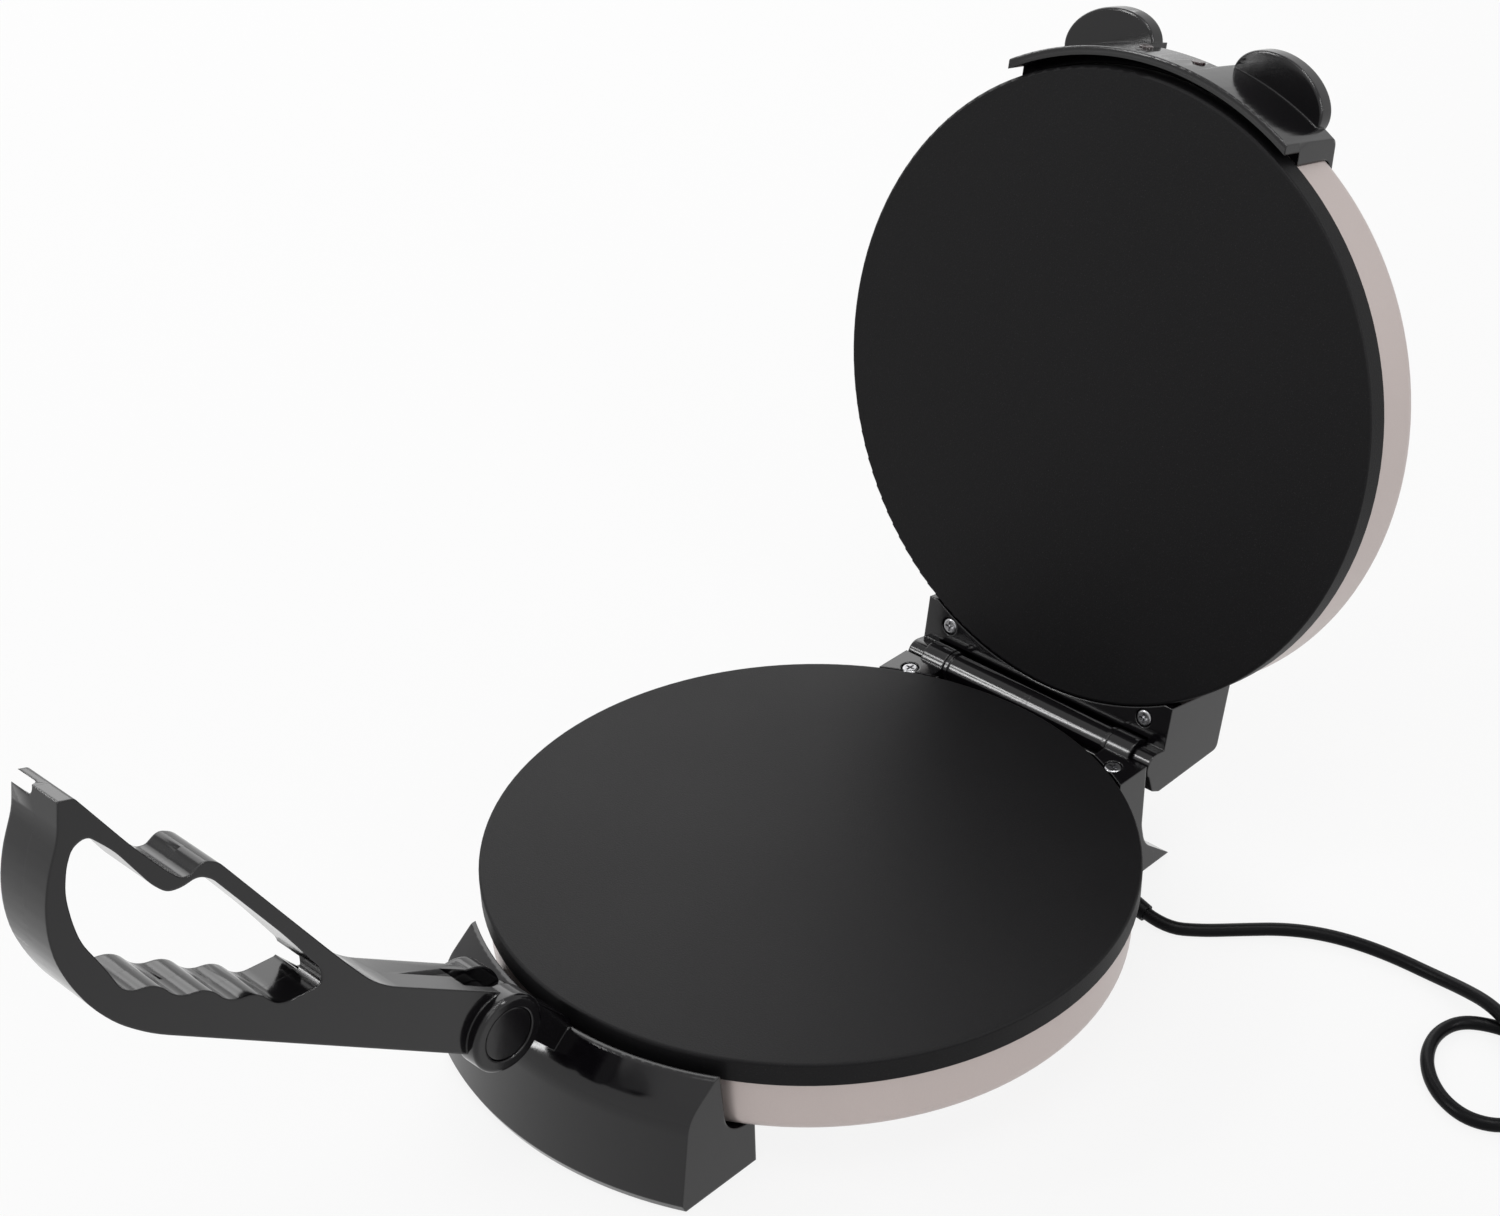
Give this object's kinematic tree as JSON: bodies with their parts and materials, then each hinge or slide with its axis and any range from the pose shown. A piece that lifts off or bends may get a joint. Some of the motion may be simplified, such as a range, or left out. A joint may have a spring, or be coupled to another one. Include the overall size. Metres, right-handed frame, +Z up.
{
  "type": "electric tortilla maker",
  "caption": "Countertop electric flatbread press: round heated plates, hinged lid and a folding press lever.",
  "frame": {"origin": "centre of the lower plate's cooking face", "axes": "+Z up, -Y towards the lever at the front, +Y towards the lid's hinge, +X to the right seen from the front"},
  "size_m": [0.447, 0.5988, 0.3167],
  "materials": {
    "coated_casting": "matt non-stick coating",
    "champagne_sheet": "satin",
    "black_moulding": "gloss",
    "rubber": "matt",
    "steel": "bright zinc plated",
    "element_sheath": "satin",
    "reflector_sheet": "bright",
    "phenolic": "matt",
    "ceramic": "matt",
    "sleeving": "satin",
    "red_lens": "clear coloured",
    "lamp_glass": "clear",
    "cord_jacket": "satin",
    "tie_plastic": "satin"
  },
  "bodies": {
    "base": {"lower_plate": "coated_casting", "lower_housing": "champagne_sheet", "front_foot": "black_moulding", "rear_foot": "black_moulding", "bottom_cover": "reflector_sheet", "rubber_feet": "rubber", "hinge_pin": "steel", "lever_pin": "steel", "base_screws": "steel", "lower_heater": "element_sheath", "lower_heater_clamps": "steel", "lower_thermostat": "phenolic", "thermal_fuse": "steel", "lower_reflector": "reflector_sheet", "terminal_block": "ceramic", "base_wiring": "sleeving", "cord_bushing": "cord_jacket", "power_cord": "cord_jacket", "cord_coil": "cord_jacket", "power_plug": "cord_jacket", "cord_tie": "tie_plastic"},
    "lid": {"upper_plate": "coated_casting", "upper_heater": "element_sheath", "upper_heater_clamps": "steel", "upper_thermostat": "phenolic", "upper_reflector": "reflector_sheet", "upper_housing": "champagne_sheet", "lid_front_moulding": "black_moulding", "indicator_lenses": "red_lens", "indicator_lamps": "lamp_glass", "lid_rear_moulding": "black_moulding", "lid_wiring": "sleeving", "lid_screws": "steel"},
    "lever": {"lever_right_shell": "black_moulding", "lever_left_shell": "black_moulding", "barrel_caps": "black_moulding", "lever_screws": "steel"}
  },
  "joints": [
    {"name": "lid_hinge", "type": "hinge", "parent": "base", "child": "lid", "pos_m": [0, 0.1342, -0.0034], "axis": [1, 0, 0], "range_deg": [0, 100.4]},
    {"name": "lever_pivot", "type": "hinge", "parent": "base", "child": "lever", "pos_m": [0, -0.1657, 0.0195], "axis": [-1, 0, 0], "range_deg": [0, 118.8]}
  ]
}
